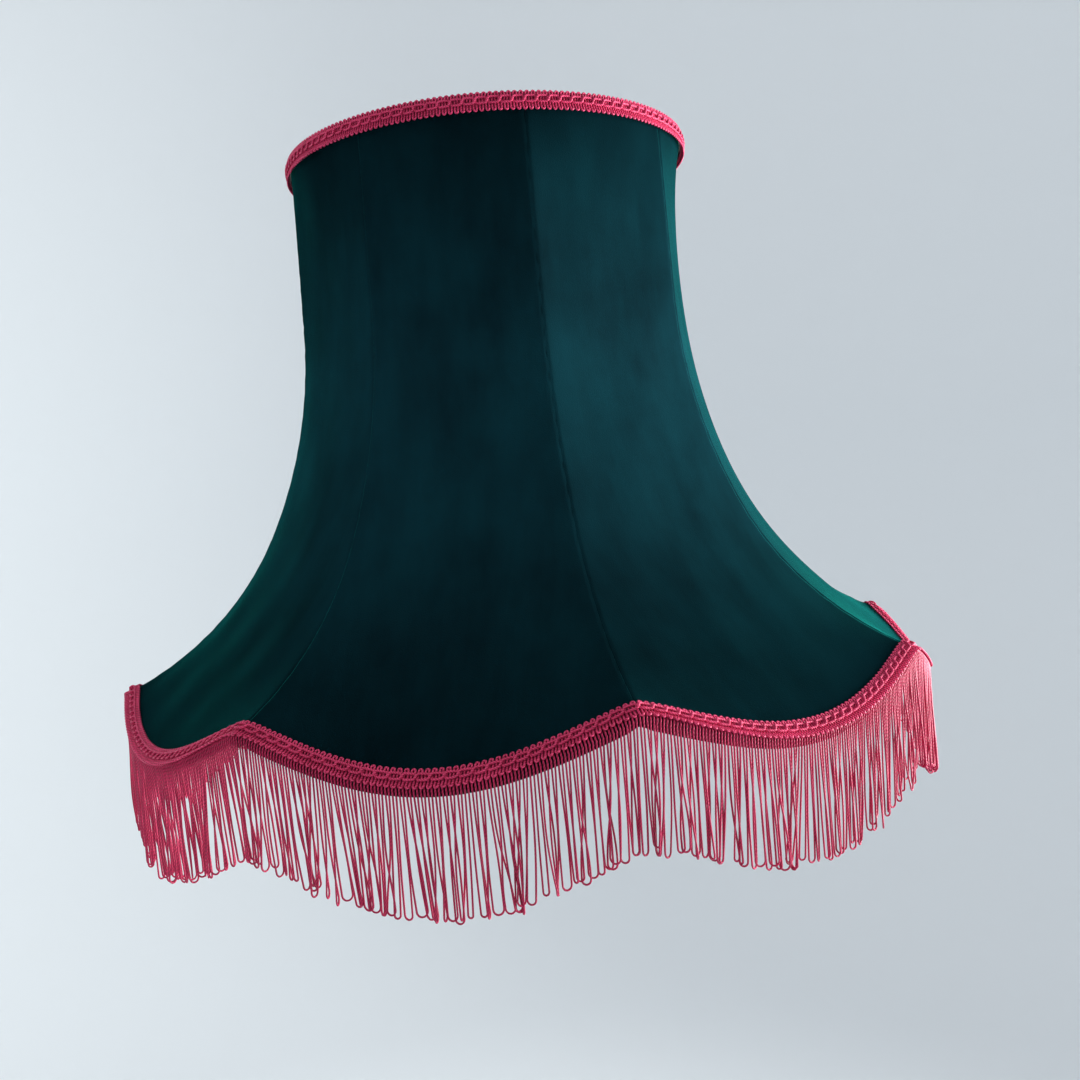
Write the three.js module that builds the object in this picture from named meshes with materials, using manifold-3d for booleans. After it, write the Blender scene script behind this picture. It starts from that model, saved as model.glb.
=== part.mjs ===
// A bell-shaped lamp shade: a wire frame of eight curved ribs between a round top ring and a
// scalloped bottom ring, covered with eight stretched velvet panels and lined with eight more,
// trimmed with a braid round the top and a braided heading with a hanging fringe round the hem.
// The frame hangs by four arms from a gimbal ring, which tilts on two rivets about a flat fitter
// ring that a lampholder clamps.
//
// Millimetres, +Z up. The origin is on the shade's axis, at the fitter ring's underside.
// Rib 1 points along -Y, and the others follow every 45 degrees. The tilt axis is along Y.
import * as THREE from 'three';
import { mergeVertices } from 'three/addons/utils/BufferGeometryUtils.js';
import Module from 'manifold-3d';

const wasm = await Module();
wasm.setup();

// Driving dimensions, in millimetres and degrees
const PANELS = 8;
const BOTTOM_RADIUS = 228; // to the velvet at the ribs' feet
const FLARE_ANGLE = 68.8; // the rib's foot, from the vertical
const LOWER_ARC = { radius: 163, turn: 42.4 };
const UPPER_ARC = { radius: 264, turn: 25.4 };
const STRAIGHT_LENGTH = 92.5; // of the rib above its arcs
const SCALLOP_DROP = 23.9; // of the hem below the ribs' feet, halfway between two ribs
const SCALLOP_SHARPNESS = 1.15; // higher is a rounder peak at each rib
const HEM_BOW = 0.85; // 0 is a straight hem from rib to rib, in plan, and 1 is a circle
const WARP_TENSION = 0.071; // the velvet's pull down the shade, over its pull across
const RING_BAND = 4; // of cloth held round the top ring
const FITTER_DEPTH = 60; // of the fitter ring's underside below the top edge

const VELVET = 1.2;
const LINING = 0.8;
const LINING_INSET = 6.2; // of the lining's outer face inside the velvet's
const WIRE_RADIUS = 1.5;
const WIRE_INSET = 3.5; // of a wire's centre inside the velvet's outer face, at a rib
const HEM_WIRE_RISE = 2.5; // of the bottom ring's centre above the hem
const CLOTH_ROWS = 12; // steps of a velvet panel from the top ring to the hem
const CLOTH_COLUMNS = 6; // and from rib to rib, for the trim and wire at the hem too
const LINING_ROWS = 10;
const LINING_COLUMNS = 3;
const GAP = 0.3; // between pieces that touch
const SEAM_GAP = 0.2; // from a panel's edge to the middle of its rib

const BRAID_WIDTH = 9.8; // of the same braid, round the top and as the fringe's heading
const GIMP = { thickness: 2.1, rise: 1.5 };
const HEADING = { thickness: 2, rise: 0.5, gap: 0.9 };
const FRINGE = { length: 53, thickness: 1.3, rise: 0.9, gap: 0.6 };

const FITTER = { hole: 21, radius: 30, thickness: 1.5, lugInner: 31.8, lugWidth: 10, lugHeight: 10 };
const GIMBAL = { inner: 35, outer: 37, height: 10 };
const PIVOT_HEIGHT = 5; // of the tilt axis above the fitter ring's underside
const PIVOT_HOLE = 2.1;
const RIVET = { shank: 1.7, head: 3.4, tail: 3, thickness: 1.4 };
const ARM_ANGLES = [45, 135, 225, 315];
const ARM_BEND = 0.35; // of an arm's reach is spent on each of its two bends

const PITCH = (2 * Math.PI) / PANELS;
const radians = THREE.MathUtils.degToRad;

// Materials
function material(colour, roughness, metalness) {
  return new THREE.MeshStandardMaterial({ color: colour, roughness, metalness });
}
const velvetMaterial = material(0x0b3436, 0.9, 0);
const liningMaterial = material(0xe6d9bd, 0.6, 0);
const trimMaterial = material(0xb8325f, 0.8, 0);
const wireMaterial = material(0xd9d6cc, 0.5, 0.4);
const steelMaterial = material(0xb9a25e, 0.35, 0.9);

// The rib's outline in its own upright plane

const lowerLength = LOWER_ARC.radius * radians(LOWER_ARC.turn);
const upperLength = UPPER_ARC.radius * radians(UPPER_ARC.turn);
const RIB_LENGTH = lowerLength + upperLength + STRAIGHT_LENGTH;

/** The end of an arc that starts at a point and straightens up as it climbs. */
function climbArc(start, radius, length) {
  const lean = start.lean - length / radius;
  return {
    r: start.r - radius * (Math.cos(lean) - Math.cos(start.lean)),
    z: start.z + radius * (Math.sin(start.lean) - Math.sin(lean)),
    lean,
  };
}

/** Radius, height over the rib's foot, and lean of the velvet's face, a length up the rib. */
function climbRib(length) {
  let point = { r: BOTTOM_RADIUS, z: 0, lean: radians(FLARE_ANGLE) };
  point = climbArc(point, LOWER_ARC.radius, Math.min(length, lowerLength));
  point = climbArc(point, UPPER_ARC.radius, THREE.MathUtils.clamp(length - lowerLength, 0, upperLength));
  const straight = Math.max(length - lowerLength - upperLength, 0);
  point.r -= straight * Math.sin(point.lean);
  point.z += straight * Math.cos(point.lean);
  return point;
}

const RIB_HEIGHT = climbRib(RIB_LENGTH).z;
const TOP_RADIUS = climbRib(RIB_LENGTH).r;
const TOP = FITTER_DEPTH;
const FOOT = TOP - RIB_HEIGHT; // height of the ribs' feet

/** The same outline, moved square to itself into the shade. */
function ribPoint(length, inset) {
  const { r, z, lean } = climbRib(length);
  return { r: r - inset * Math.cos(lean), z: FOOT + z - inset * Math.sin(lean), lean };
}

/** A point from a radius, an angle from rib 1 towards +X, and a height. */
function polar(r, angle, z) {
  return new THREE.Vector3(r * Math.sin(angle), -r * Math.cos(angle), z);
}

// One panel, between the rib at angle 0 and the rib at angle PITCH

/** The hem, from one rib to the next as t goes from 0 to 1. */
function hemPoint(t, angle, inset) {
  const foot = ribPoint(0, inset);
  const straight = Math.cos(PITCH / 2) / Math.cos((t - 0.5) * PITCH);
  const drop = SCALLOP_DROP * Math.sin(Math.PI * t) ** SCALLOP_SHARPNESS;
  return polar(foot.r * THREE.MathUtils.lerp(straight, 1, HEM_BOW), angle, foot.z - drop);
}

/**
 * Cloth stretched between two ribs, the top ring and the hem, as rows of points from the top down.
 * Its edges are fixed, and every other point is moved to the weighted middle of its neighbours.
 */
function stretchCloth(inset, rows, columns, edgeGap) {
  const clothLength = RIB_LENGTH - RING_BAND;
  const grid = [];
  for (let i = 0; i <= rows; i += 1) {
    const { r, z } = ribPoint(clothLength * (1 - i / rows), inset);
    const shift = Math.asin(edgeGap / r);
    const row = [];
    for (let j = 0; j <= columns; j += 1) {
      const t = j / columns;
      const angle = THREE.MathUtils.lerp(shift, PITCH - shift, t);
      row.push(i === rows ? hemPoint(t, angle, inset) : polar(r, angle, z));
    }
    grid.push(row);
  }
  const down = WARP_TENSION * (rows / columns) ** 2;
  for (let sweep = 0; sweep < 600; sweep += 1) {
    for (let i = 1; i < rows; i += 1) {
      for (let j = 1; j < columns; j += 1) {
        const along = grid[i - 1][j].clone().add(grid[i + 1][j]).multiplyScalar(down);
        const across = grid[i][j - 1].clone().add(grid[i][j + 1]);
        grid[i][j].copy(along.add(across).divideScalar(2 + 2 * down));
      }
    }
  }
  return grid;
}

/** The row of cloth at the top edge, straight above the ring's own row. */
function topRow(grid, inset, z) {
  const { r } = ribPoint(RIB_LENGTH, inset);
  return grid[0].map((p) => new THREE.Vector3(p.x, p.y, 0).setLength(r).setZ(z));
}

/**
 * A closed solid through a list of sections, each an outline of points in the same order.
 * The outline runs down one face and back up the other, so an end is closed by a ladder
 * of quads across it. A looped solid joins its last section to its first.
 */
function loft(sections, looped = false) {
  const count = sections[0].length;
  const positions = sections.flat().flatMap((p) => [p.x, p.y, p.z]);
  const triangles = [];
  const quad = (a, b, c, d) => triangles.push(a, b, c, a, c, d);
  const spans = looped ? sections.length : sections.length - 1;
  for (let s = 0; s < spans; s += 1) {
    const here = s * count;
    const next = ((s + 1) % sections.length) * count;
    for (let k = 0; k < count; k += 1) {
      const after = (k + 1) % count;
      quad(here + k, here + after, next + after, next + k);
    }
  }
  if (!looped) {
    const last = (sections.length - 1) * count;
    for (let k = 0; k < count / 2 - 1; k += 1) {
      quad(k, count - 1 - k, count - 2 - k, k + 1);
      quad(last + k, last + k + 1, last + count - 2 - k, last + count - 1 - k);
    }
  }
  const geometry = new THREE.BufferGeometry();
  geometry.setAttribute('position', new THREE.Float32BufferAttribute(positions, 3));
  geometry.setIndex(triangles);
  geometry.computeVertexNormals();
  return geometry;
}

/** A thin closed solid between two sheets of points that have the same rows and columns. */
function slab(outer, inner) {
  const sections = outer[0].map((_, j) => {
    const front = outer.map((row) => row[j]);
    const back = inner.map((row) => row[j]).reverse();
    return [...front, ...back];
  });
  return loft(sections);
}

function velvetPanel() {
  const faces = [0, VELVET].map((inset) => {
    const grid = stretchCloth(inset, CLOTH_ROWS, CLOTH_COLUMNS, SEAM_GAP);
    const hem = grid.pop();
    const above = grid.at(-1);
    const rise = HEADING.rise + BRAID_WIDTH;
    const trimRow = hem.map((p, j) => p.clone().addScaledVector(above[j].clone().sub(p).normalize(), rise));
    return [topRow(grid, inset, TOP), ...grid, trimRow, hem];
  });
  return slab(...faces);
}

/** The lining stops just under the top ring and just above the bottom one. */
function liningPanel() {
  const faces = [LINING_INSET, LINING_INSET + LINING].map((inset) => {
    const grid = stretchCloth(inset, LINING_ROWS, LINING_COLUMNS, SEAM_GAP);
    const shorten = (edge, next, share) => edge.map((p, j) => p.clone().lerp(next[j], share));
    const top = shorten(grid[0], grid[1], 0.1);
    const bottom = shorten(grid[LINING_ROWS], grid[LINING_ROWS - 1], 0.15);
    return [top, ...grid.slice(1, -1), bottom];
  });
  return slab(...faces);
}

// The velvet's outer face near the hem, for what is fastened there

const hemCloth = stretchCloth(0, CLOTH_ROWS, CLOTH_COLUMNS, 0);

/** Where the hem is, which way is up the cloth, and which way is out of it, at a column. */
function hemFrame(column) {
  const edge = hemCloth[CLOTH_ROWS][column];
  const up = hemCloth[CLOTH_ROWS - 1][column].clone().sub(edge).normalize();
  const side = Math.min(Math.max(column, 1), CLOTH_COLUMNS - 1);
  const along = hemCloth[CLOTH_ROWS][side + 1].clone().sub(hemCloth[CLOTH_ROWS][side - 1]);
  const outward = edge.clone().setZ(0).normalize();
  if (column === 0 || column === CLOTH_COLUMNS) {
    along.set(-outward.y, outward.x, 0); // at a rib two panels meet, so the trim is mitred there
  }
  const out = along.cross(up).normalize();
  if (out.dot(outward) < 0) {
    out.negate();
  }
  return { edge, up, out, outward };
}

/** A point near the hem: up the cloth from its edge, and out from its face. */
function nearHem({ edge, up, out }, rise, offset) {
  return edge.clone().addScaledVector(up, rise).addScaledVector(out, offset);
}

/** Sections all the way round the hem, from a function that draws one at a column's frame. */
function roundHem(drawSection) {
  const sections = [];
  for (let panel = 0; panel < PANELS; panel += 1) {
    for (let column = 0; column < CLOTH_COLUMNS; column += 1) {
      const turned = drawSection(hemFrame(column));
      const axis = new THREE.Vector3(0, 0, 1);
      sections.push(turned.map((p) => p.applyAxisAngle(axis, panel * PITCH)));
    }
  }
  return sections;
}

function fringeHeading() {
  const low = HEADING.rise;
  const high = HEADING.rise + BRAID_WIDTH;
  return loft(
    roundHem((frame) => [
      nearHem(frame, high, HEADING.gap + HEADING.thickness),
      nearHem(frame, low, HEADING.gap + HEADING.thickness),
      nearHem(frame, low, HEADING.gap),
      nearHem(frame, high, HEADING.gap),
    ]),
    true,
  );
}

function bottomRing() {
  const sides = 6;
  return loft(
    roundHem((frame) => {
      const centre = nearHem(frame, HEM_WIRE_RISE, -WIRE_INSET);
      return Array.from({ length: sides }, (_, k) => {
        const turn = (2 * Math.PI * k) / sides;
        return centre
          .clone()
          .addScaledVector(frame.up, WIRE_RADIUS * Math.cos(turn))
          .addScaledVector(frame.out, WIRE_RADIUS * Math.sin(turn));
      });
    }),
    true,
  );
}

/** The fringe of one panel, straight down from under the heading. */
function fringeCurtain() {
  const sections = [];
  for (let column = 0; column <= CLOTH_COLUMNS; column += 1) {
    const frame = hemFrame(column);
    const face = (offset) => {
      const line = nearHem(frame, 0, GAP).addScaledVector(frame.outward, offset);
      const start = line.clone().setZ(frame.edge.z + FRINGE.rise);
      const end = line.clone().setZ(frame.edge.z - FRINGE.length);
      return [start, end];
    };
    const front = face(FRINGE.gap + FRINGE.thickness);
    const back = face(FRINGE.gap).reverse();
    const clear = column === 0 ? SEAM_GAP : column === CLOTH_COLUMNS ? -SEAM_GAP : 0;
    const sideways = new THREE.Vector3(-frame.outward.y, frame.outward.x, 0);
    sections.push([...front, ...back].map((p) => p.addScaledVector(sideways, clear)));
  }
  return loft(sections);
}

// The wire frame

class RibCurve extends THREE.Curve {
  constructor(low, high) {
    super();
    this.low = low;
    this.high = high;
  }

  getPoint(t, target = new THREE.Vector3()) {
    const { r, z } = ribPoint(THREE.MathUtils.lerp(this.low, this.high, t), WIRE_INSET);
    return target.copy(polar(r, 0, z));
  }
}

function wireShape(radius) {
  return new THREE.Shape().absarc(0, 0, radius, 0, 2 * Math.PI);
}

function wireAlong(path, steps, sides) {
  return new THREE.ExtrudeGeometry(wireShape(WIRE_RADIUS), {
    extrudePath: path,
    steps,
    curveSegments: sides / 2,
    bevelEnabled: false,
  });
}

/** A rib runs from the bottom ring to the underside of the top ring. */
function rib() {
  const low = HEM_WIRE_RISE + WIRE_RADIUS + 2 * GAP;
  const high = RIB_LENGTH - RING_BAND - GAP;
  return wireAlong(new RibCurve(low, high), 13, 6);
}

const TOP_RING_RADIUS = TOP_RADIUS - WIRE_INSET;
const TOP_RING_HEIGHT = TOP - 2;

function topRing() {
  return new THREE.TorusGeometry(TOP_RING_RADIUS, WIRE_RADIUS, 6, 40).translate(0, 0, TOP_RING_HEIGHT);
}

/** A ring of rectangular section, turned about the shade's axis. */
function bandRing(inner, outer, low, high, segments) {
  const profile = [
    new THREE.Vector2(inner, low),
    new THREE.Vector2(outer, low),
    new THREE.Vector2(outer, high),
    new THREE.Vector2(inner, high),
    new THREE.Vector2(inner, low),
  ];
  return new THREE.LatheGeometry(profile, segments).rotateX(Math.PI / 2);
}

function topGimp() {
  const inner = TOP_RADIUS + 2 * GAP;
  const high = TOP + GIMP.rise;
  return bandRing(inner, inner + GIMP.thickness, high - BRAID_WIDTH, high, 48);
}

// The gimbal that the shade tilts on

/** An arm drops from the inside of the top ring to the outside of the gimbal ring. */
function arm() {
  const start = TOP_RING_RADIUS - WIRE_RADIUS - 2 * GAP;
  const end = GIMBAL.outer + GAP;
  const low = GIMBAL.height / 2;
  const bend = (start - end) * ARM_BEND;
  const path = new THREE.CubicBezierCurve3(
    polar(start, 0, TOP_RING_HEIGHT),
    polar(start - bend, 0, TOP_RING_HEIGHT),
    polar(end + bend, 0, low),
    polar(end, 0, low),
  );
  return wireAlong(path, 12, 8);
}

function toSolid(geometry) {
  const bare = geometry.clone();
  bare.deleteAttribute('normal');
  bare.deleteAttribute('uv');
  const merged = mergeVertices(bare, 1e-4);
  const vertProperties = new Float32Array(merged.attributes.position.array);
  const triVerts = new Uint32Array(merged.index.array);
  return new wasm.Manifold(new wasm.Mesh({ numProp: 3, vertProperties, triVerts }));
}

function toGeometry(solid) {
  const { vertProperties, triVerts } = solid.getMesh();
  const geometry = new THREE.BufferGeometry();
  geometry.setAttribute('position', new THREE.Float32BufferAttribute(vertProperties, 3));
  geometry.setIndex(Array.from(triVerts));
  geometry.computeVertexNormals();
  return geometry;
}

/** A round bar along Y at the pivots' height, from one y to another. */
function pivotBar(radius, from, to) {
  const bar = new THREE.CylinderGeometry(radius, radius, to - from, 16);
  return bar.translate(0, (from + to) / 2, PIVOT_HEIGHT);
}

/** The bar that drills both pivot holes of a ring. */
function pivotDrill() {
  return toSolid(pivotBar(PIVOT_HOLE, -GIMBAL.outer - 5, GIMBAL.outer + 5));
}

function gimbalRing() {
  const band = toSolid(bandRing(GIMBAL.inner, GIMBAL.outer, 0, GIMBAL.height, 40));
  return toGeometry(band.subtract(pivotDrill()));
}

/** A flat washer with two lugs, which stand up at its front and back edges to take the rivets. */
function fitterRing() {
  const { hole, radius, thickness, lugInner, lugWidth, lugHeight } = FITTER;
  const lugOuter = lugInner + thickness;
  let ring = toSolid(bandRing(hole, radius, 0, thickness, 40));
  for (const side of [-1, 1]) {
    const tabStart = (hole + radius) / 2;
    const tab = new THREE.BoxGeometry(lugWidth, lugOuter - tabStart, thickness);
    tab.translate(0, (side * (lugOuter + tabStart)) / 2, thickness / 2);
    const lug = new THREE.BoxGeometry(lugWidth, thickness, lugHeight);
    lug.translate(0, side * (lugInner + thickness / 2), lugHeight / 2);
    ring = ring.add(toSolid(tab)).add(toSolid(lug));
  }
  return toGeometry(ring.subtract(pivotDrill()));
}

/** A rivet through the gimbal ring and the lug inside it, with a domed head and a flat tail. */
function pivotRivet() {
  const insideLug = FITTER.lugInner - GAP;
  const outsideRing = GIMBAL.outer + GAP;
  const { shank, head, tail, thickness } = RIVET;
  const profile = [
    new THREE.Vector2(0, insideLug - thickness),
    new THREE.Vector2(tail, insideLug - thickness),
    new THREE.Vector2(tail, insideLug),
    new THREE.Vector2(shank, insideLug),
    new THREE.Vector2(shank, outsideRing),
    new THREE.Vector2(head, outsideRing),
    new THREE.Vector2(head, outsideRing + thickness / 2),
    new THREE.Vector2(head / 2, outsideRing + thickness),
    new THREE.Vector2(0, outsideRing + thickness),
  ];
  return new THREE.LatheGeometry(profile, 12);
}

// Assembly

const shade = new THREE.Group();

/** Adds a named piece, turned about the shade's axis by an angle from its own place. */
function place(name, geometry, finish, turn = 0) {
  const mesh = new THREE.Mesh(geometry, finish);
  mesh.name = name;
  mesh.rotation.z = turn;
  shade.add(mesh);
  return mesh;
}

function placeRound(name, geometry, finish) {
  for (let k = 0; k < PANELS; k += 1) {
    place(`${name}_${k + 1}`, geometry, finish, k * PITCH);
  }
}

place('top_ring', topRing(), wireMaterial);
place('bottom_ring', bottomRing(), wireMaterial);
placeRound('rib', rib(), wireMaterial);
placeRound('velvet_panel', velvetPanel(), velvetMaterial);
placeRound('lining_panel', liningPanel(), liningMaterial);
place('top_gimp', topGimp(), trimMaterial);
place('fringe_heading', fringeHeading(), trimMaterial);
placeRound('fringe', fringeCurtain(), trimMaterial);
ARM_ANGLES.forEach((angle, k) => place(`arm_${k + 1}`, arm(), wireMaterial, radians(angle)));
place('gimbal_ring', gimbalRing(), steelMaterial);
place('fitter_ring', fitterRing(), steelMaterial);
for (const [name, turn] of [['pivot_rivet_front', Math.PI], ['pivot_rivet_back', 0]]) {
  const rivet = pivotRivet().translate(0, 0, PIVOT_HEIGHT);
  place(name, rivet, steelMaterial, turn);
}

export default shade;
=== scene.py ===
import math

import bpy
import numpy as np
from mathutils import Matrix, Vector


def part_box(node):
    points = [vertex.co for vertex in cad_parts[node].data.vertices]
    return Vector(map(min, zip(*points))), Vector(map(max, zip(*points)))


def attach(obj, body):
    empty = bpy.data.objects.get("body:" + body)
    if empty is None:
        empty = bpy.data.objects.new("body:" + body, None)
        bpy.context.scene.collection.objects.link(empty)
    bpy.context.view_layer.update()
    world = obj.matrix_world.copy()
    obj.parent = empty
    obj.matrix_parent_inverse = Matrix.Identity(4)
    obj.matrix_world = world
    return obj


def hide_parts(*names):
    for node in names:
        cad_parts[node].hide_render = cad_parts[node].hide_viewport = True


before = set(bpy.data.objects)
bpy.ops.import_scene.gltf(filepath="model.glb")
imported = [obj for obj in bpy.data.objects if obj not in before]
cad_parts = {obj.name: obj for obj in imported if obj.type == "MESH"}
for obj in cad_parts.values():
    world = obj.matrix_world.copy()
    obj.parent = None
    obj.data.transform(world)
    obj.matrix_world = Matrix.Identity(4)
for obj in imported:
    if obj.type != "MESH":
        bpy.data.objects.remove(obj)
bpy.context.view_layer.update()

# Driving dimensions, in metres and radians. They are the frame's own, except that the hem's peaks
# are rounded off here.

PANELS = 8
PITCH = 2 * math.pi / PANELS
BOTTOM_RADIUS = 0.228  # to the velvet at the ribs' feet
FLARE_ANGLE = math.radians(68.8)  # the rib's foot, from the vertical
LOWER_ARC = (0.163, math.radians(42.4))  # radius and turn
UPPER_ARC = (0.264, math.radians(25.4))
STRAIGHT_LENGTH = 0.0925
SCALLOP_DROP = 0.0239
SCALLOP_SHARPNESS = 1.07
SCALLOP_ROUNDING = 0.10  # of the peak at each rib, as a share of the drop
HEM_BOW = 0.85
WARP_TENSION = 0.071
RING_BAND = 0.004
WIRE_INSET = 0.0035  # of a wire's centre inside the velvet's face
HEM_WIRE_RISE = 0.0025
LINING_INSET = 0.0062
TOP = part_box("velvet_panel_1")[1].z
GIMP_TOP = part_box("top_gimp")[1].z
FRINGE_LENGTH = 0.053
HEADING_RISE = 0.0005  # of the braid's lower edge up the cloth from the hem

# Points in arrays: the last axis is x, y, z


def unit(vectors):
    return vectors / np.linalg.norm(vectors, axis=-1, keepdims=True)


def polar(radius, angle, height):
    """Points from a radius, an angle from rib 1 towards +X, and a height."""
    radius, angle, height = np.broadcast_arrays(radius, angle, height)
    return np.stack([radius * np.sin(angle), -radius * np.cos(angle), height], axis=-1)


def turned(points, angle):
    """Points turned about the shade's axis."""
    c, s = math.cos(angle), math.sin(angle)
    return points @ np.array([[c, s, 0], [-s, c, 0], [0, 0, 1]])


def along_line(points):
    """How far along a line each of its points is. The line runs along the first axis."""
    steps = np.linalg.norm(np.diff(points, axis=0), axis=-1)
    return np.concatenate([np.zeros_like(steps[:1]), np.cumsum(steps, axis=0)])


def ease(x):
    """0 below 0, 1 above 1, and smooth between them."""
    x = np.clip(x, 0, 1)
    return x * x * (3 - 2 * x)


def ripples(u, v, rng, lengths, slant, waves=7):
    """Smooth bumps over u and v, mostly within -1 to 1. Crests lie within slant of the v axis."""
    total = np.zeros(np.broadcast(u, v).shape)
    for _ in range(waves):
        turn = rng.uniform(-slant, slant)
        pace = 2 * math.pi / rng.uniform(*lengths)
        phase = rng.uniform(0, 2 * math.pi)
        total = total + np.sin(pace * (u * math.cos(turn) + v * math.sin(turn)) + phase)
    return total / math.sqrt(waves)


# Meshes


def add_mesh(name, points, faces, corners=None, smooth=True):
    """A mesh object. corners holds each face corner's two texture coordinates, in face order."""
    mesh = bpy.data.meshes.new(name)
    mesh.from_pydata(np.reshape(points, (-1, 3)).tolist(), [], faces)
    mesh.polygons.foreach_set("use_smooth", [smooth] * len(mesh.polygons))
    if corners is not None:
        layer = mesh.uv_layers.new(name="Length")
        layer.data.foreach_set("uv", np.ravel(corners))
    mesh.update()
    piece = bpy.data.objects.new(name, mesh)
    bpy.context.scene.collection.objects.link(piece)
    return piece


def grid_quads(rows, columns):
    """Corner numbers of the quads of a grid of points, facing down-cross-across."""
    index = np.arange(rows * columns).reshape(rows, columns)
    return np.stack([index[:-1, :-1], index[1:, :-1], index[1:, 1:], index[:-1, 1:]], -1).reshape(-1, 4)


MITRE_REACH = 0.004  # how far from a rib its plane still turns the cloth's normals


def mitred_normals(grid, mitres):
    """Which way is out of a panel. At a rib it lies in the rib's plane, as its neighbour's does."""
    across = unit(np.gradient(grid, axis=1))
    down = unit(np.gradient(grid, axis=0))
    for column, angle in ((0, mitres[0]), (-1, mitres[1])):
        reach = np.linalg.norm(grid - grid[:, column, None], axis=-1)[..., None]
        share = np.exp(-((reach / MITRE_REACH) ** 2))
        square = np.array([math.cos(angle), math.sin(angle), 0])
        across = across + (square - across) * share
    return unit(np.cross(down, across))


def sheet_mesh(name, outer, thickness, normals):
    """A closed sheet of cloth under a grid of points that is its outer face."""
    rows, columns = outer.shape[:2]
    inner = outer - thickness * normals
    count = rows * columns
    front = grid_quads(rows, columns)
    back = front[:, ::-1] + count
    index = np.arange(count).reshape(rows, columns)
    rim = np.concatenate([index[0, :-1], index[:-1, -1], index[-1, :0:-1], index[:0:-1, 0]])
    after = np.roll(rim, -1)
    edge = np.stack([rim, after, after + count, rim + count], -1)
    faces = np.concatenate([front, back, edge])
    down = along_line(outer)
    middle = columns // 2
    across = along_line(outer.swapaxes(0, 1)).T
    place = np.stack([across - across[:, middle, None], down[:, middle, None] + 0 * down], -1)
    place = np.concatenate([place.reshape(-1, 2)] * 2)
    return add_mesh(name, np.concatenate([outer.reshape(-1, 3), inner.reshape(-1, 3)]), faces.tolist(),
                    place[faces.ravel()])


def tubes(name, paths, guides, radius, sides, looped=False):
    """Round cords along paths, an array of (cords, points, 3). No guide lies along its path."""
    cords, steps = paths.shape[:2]
    if looped:
        tangent = unit(np.roll(paths, -1, axis=1) - np.roll(paths, 1, axis=1))
    else:
        tangent = unit(np.gradient(paths, axis=1))
    side = unit(np.cross(tangent, guides))
    rise = np.cross(side, tangent)
    turn = np.arange(sides) * 2 * math.pi / sides
    section = np.cos(turn)[:, None] * side[:, :, None] + np.sin(turn)[:, None] * rise[:, :, None]
    points = paths[:, :, None] + section * np.reshape(radius, (-1, 1, 1, 1))
    index = np.arange(cords * steps * sides).reshape(cords, steps, sides)
    after = np.roll(index, -1, axis=1) if looped else index[:, 1:]
    here = index if looped else index[:, :-1]
    quads = np.stack([here, np.roll(here, -1, axis=2), np.roll(after, -1, axis=2), after], -1)
    faces = quads.reshape(-1, 4).tolist()
    gone = along_line(np.concatenate([paths, paths[:, :1]], axis=1).swapaxes(0, 1)).T
    near, far = (gone[:, :-1], gone[:, 1:]) if looped else (gone[:, :-2], gone[:, 1:-1])
    near, far = (np.repeat(x[:, :, None], sides, axis=2) for x in (near, far))
    round_near = np.broadcast_to(np.arange(sides) / sides, near.shape)
    round_far = round_near + 1 / sides
    corners = np.stack([near, round_near, near, round_far, far, round_far, far, round_near], -1)
    corners = corners.reshape(-1, 2)
    if not looped:
        ends = np.concatenate([index[:, 0, ::-1], index[:, -1]])
        faces += ends.tolist()
        corners = np.concatenate([corners, np.zeros((ends.size, 2))])
    return add_mesh(name, points, faces, corners)


def carried_guides(paths):
    """Guides for open paths, turned along with each path so that its cord isn't twisted."""
    tangent = unit(np.gradient(paths, axis=1))
    guide = np.zeros_like(paths)
    start = np.cross(tangent[:, 0], [0.0, 0.0, 1.0])
    guide[:, 0] = unit(start)
    for step in range(1, paths.shape[1]):
        here = guide[:, step - 1]
        slip = np.sum(here * tangent[:, step], axis=-1, keepdims=True)
        guide[:, step] = unit(here - slip * tangent[:, step])
    return guide


def lathe(name, profile, segments):
    """A closed profile of (radius, height) points turned about the shade's axis."""
    profile = np.array(profile)
    angle = np.arange(segments) * 2 * math.pi / segments
    points = polar(profile[None, :, 0], angle[:, None], profile[None, :, 1])
    index = np.arange(points.shape[0] * points.shape[1]).reshape(points.shape[:2])
    after = np.roll(index, -1, axis=0)
    quads = np.stack([index, np.roll(index, -1, axis=1), np.roll(after, -1, axis=1), after], -1)
    return add_mesh(name, points, quads.reshape(-1, 4).tolist())


# The velvet and the lining


def climb_rib(length):
    """Radius, height over the rib's foot, and lean of the velvet's face, a length up the rib."""
    length = np.asarray(length, float)
    lower, upper = (radius * turn for radius, turn in (LOWER_ARC, UPPER_ARC))
    radius, height, lean = BOTTOM_RADIUS, 0.0, FLARE_ANGLE
    for arc, done in ((LOWER_ARC[0], np.minimum(length, lower)),
                      (UPPER_ARC[0], np.clip(length - lower, 0, upper))):
        straighter = lean - done / arc
        radius = radius - arc * (np.cos(straighter) - np.cos(lean))
        height = height + arc * (np.sin(lean) - np.sin(straighter))
        lean = straighter
    rest = np.maximum(length - lower - upper, 0)
    return radius - rest * np.sin(lean), height + rest * np.cos(lean), lean


RIB_LENGTH = LOWER_ARC[0] * LOWER_ARC[1] + UPPER_ARC[0] * UPPER_ARC[1] + STRAIGHT_LENGTH
TOP_RADIUS = float(climb_rib(RIB_LENGTH)[0])
FOOT = TOP - float(climb_rib(RIB_LENGTH)[1])


def rib_point(length, inset):
    """The rib's outline, moved square to itself into the shade."""
    radius, height, lean = climb_rib(length)
    return radius - inset * np.cos(lean), FOOT + height - inset * np.sin(lean)


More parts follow.
